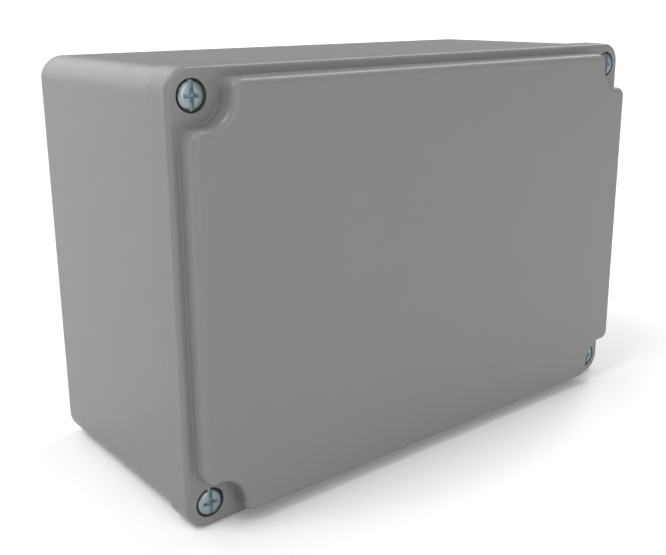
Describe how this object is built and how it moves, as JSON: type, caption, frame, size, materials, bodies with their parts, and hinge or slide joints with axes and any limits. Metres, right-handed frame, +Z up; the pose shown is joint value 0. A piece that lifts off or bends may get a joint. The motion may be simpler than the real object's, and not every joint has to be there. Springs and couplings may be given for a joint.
{
  "type": "die cast aluminium box",
  "caption": "Rectangular die cast aluminium enclosure with a sealed lift-off lid, raised panel on the lid, captive lid screws in notched corners, wall fixing holes and an earth terminal.",
  "frame": {"origin": "centre of the footprint of the bounding box, at the height of the lowest edge of the lid's rim", "axes": "+X along the long side, +Y towards the back face that goes against a wall, +Z up; the lid faces -Y"},
  "size_m": [0.19, 0.09, 0.13],
  "materials": {
    "grey_powder_coat": "satin mid grey powder coat on die cast aluminium",
    "gasket_rubber": "matte black",
    "zinc_plated_steel": "bright bluish zinc plate",
    "spring_steel": "dark phosphated spring steel"
  },
  "bodies": {
    "box": {"box_body": "grey_powder_coat", "earth_screw": "zinc_plated_steel", "earth_toothed_washer": "spring_steel", "earth_clamp": "zinc_plated_steel"},
    "lid": {"lid": "grey_powder_coat", "lid_gasket": "gasket_rubber"},
    "ring_top_left": {"screw_ring_top_left": "spring_steel"},
    "screw_top_left": {"lid_screw_top_left": "zinc_plated_steel"},
    "ring_top_right": {"screw_ring_top_right": "spring_steel"},
    "screw_top_right": {"lid_screw_top_right": "zinc_plated_steel"},
    "ring_bottom_right": {"screw_ring_bottom_right": "spring_steel"},
    "screw_bottom_right": {"lid_screw_bottom_right": "zinc_plated_steel"},
    "ring_bottom_left": {"screw_ring_bottom_left": "spring_steel"},
    "screw_bottom_left": {"lid_screw_bottom_left": "zinc_plated_steel"}
  },
  "joints": [
    {"name": "lid_lift", "type": "slide", "parent": "box", "child": "lid", "axis": [0, -1, 0], "range_m": [0, 0.1]},
    {"name": "screw_out_top_left", "type": "slide", "parent": "lid", "child": "ring_top_left", "axis": [0, -1, 0], "range_m": [0, 0.007]},
    {"name": "screw_turn_top_left", "type": "hinge", "parent": "ring_top_left", "child": "screw_top_left", "pos_m": [-0.0875, -0.0357, 0.1225], "axis": [0, -1, 0], "range_deg": [0, 3601]},
    {"name": "screw_out_top_right", "type": "slide", "parent": "lid", "child": "ring_top_right", "axis": [0, -1, 0], "range_m": [0, 0.007]},
    {"name": "screw_turn_top_right", "type": "hinge", "parent": "ring_top_right", "child": "screw_top_right", "pos_m": [0.0875, -0.0357, 0.1225], "axis": [0, -1, 0], "range_deg": [0, 3601]},
    {"name": "screw_out_bottom_right", "type": "slide", "parent": "lid", "child": "ring_bottom_right", "axis": [0, -1, 0], "range_m": [0, 0.007]},
    {"name": "screw_turn_bottom_right", "type": "hinge", "parent": "ring_bottom_right", "child": "screw_bottom_right", "pos_m": [0.0875, -0.0357, 0.0075], "axis": [0, -1, 0], "range_deg": [0, 3601]},
    {"name": "screw_out_bottom_left", "type": "slide", "parent": "lid", "child": "ring_bottom_left", "axis": [0, -1, 0], "range_m": [0, 0.007]},
    {"name": "screw_turn_bottom_left", "type": "hinge", "parent": "ring_bottom_left", "child": "screw_bottom_left", "pos_m": [-0.0875, -0.0357, 0.0075], "axis": [0, -1, 0], "range_deg": [0, 3601]}
  ],
  "couplings": [
    {"joint": "screw_turn_top_left", "follows": "screw_out_top_left", "rad_per_m": 8976},
    {"joint": "screw_turn_top_right", "follows": "screw_out_top_right", "rad_per_m": 8976},
    {"joint": "screw_turn_bottom_right", "follows": "screw_out_bottom_right", "rad_per_m": 8976},
    {"joint": "screw_turn_bottom_left", "follows": "screw_out_bottom_left", "rad_per_m": 8976}
  ]
}
